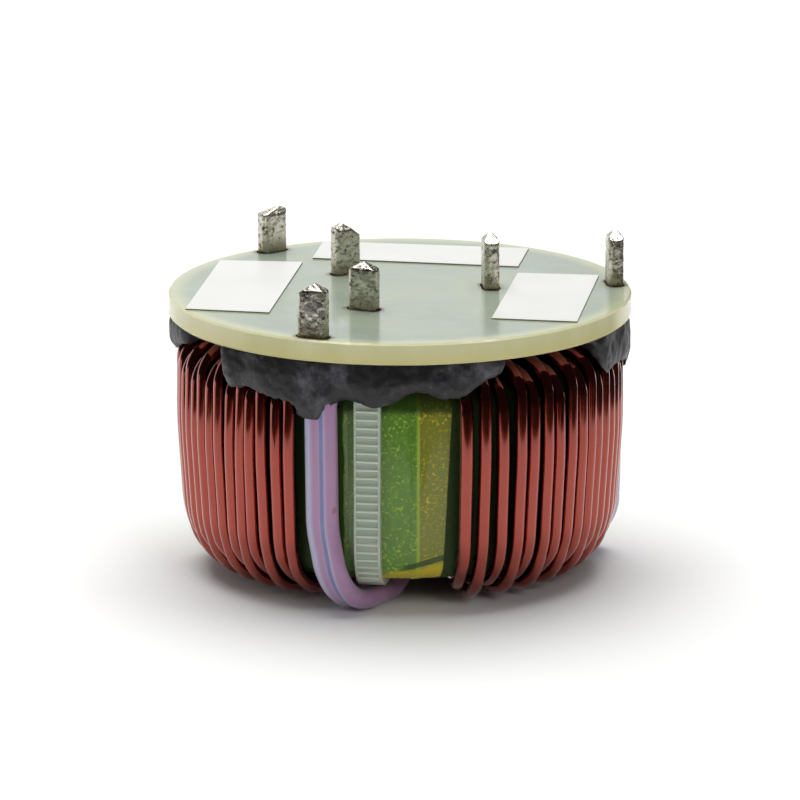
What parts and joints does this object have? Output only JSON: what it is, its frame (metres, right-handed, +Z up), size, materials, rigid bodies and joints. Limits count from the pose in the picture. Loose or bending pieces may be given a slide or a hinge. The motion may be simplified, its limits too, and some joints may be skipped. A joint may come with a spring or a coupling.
{
  "type": "common mode choke",
  "caption": "Ring core wound with paired enamelled wires in three windings, under a round board that carries soldered pin pairs; sleeved leads, cable ties and adhesive beads hold it together.",
  "frame": {"origin": "on the ring's axis, at the level of the three sleeved leads that the choke stands on", "axes": "+Z up along the ring's axis, towards the pins; +X along the radius that holds inner_pin_1 and outer_pin_2"},
  "size_m": [0.0641, 0.064, 0.0467],
  "materials": {
    "ferrite": "matte",
    "green_tape": "gloss",
    "board_laminate": "satin",
    "red_enamel": "gloss",
    "dull_tin": "satin",
    "lilac_sleeving": "gloss",
    "natural_nylon": "satin",
    "black_adhesive": "matte",
    "white_strip": "matte"
  },
  "bodies": {
    "root": {"core": "ferrite", "core_tape": "green_tape", "board": "board_laminate", "phase_1_wire_a": "red_enamel", "phase_1_wire_b": "red_enamel", "outer_pin_1": "dull_tin", "inner_pin_1": "dull_tin", "lead_sleeve_1": "lilac_sleeving", "cable_tie_1": "natural_nylon", "adhesive_bead_1": "black_adhesive", "phase_2_wire_a": "red_enamel", "phase_2_wire_b": "red_enamel", "outer_pin_2": "dull_tin", "inner_pin_2": "dull_tin", "lead_sleeve_2": "lilac_sleeving", "cable_tie_2": "natural_nylon", "adhesive_bead_2": "black_adhesive", "phase_3_wire_a": "red_enamel", "phase_3_wire_b": "red_enamel", "outer_pin_3": "dull_tin", "inner_pin_3": "dull_tin", "lead_sleeve_3": "lilac_sleeving", "cable_tie_3": "natural_nylon", "adhesive_bead_3": "black_adhesive", "side_pad_1": "white_strip", "side_pad_2": "white_strip", "blank_label": "white_strip"}
  },
  "joints": []
}
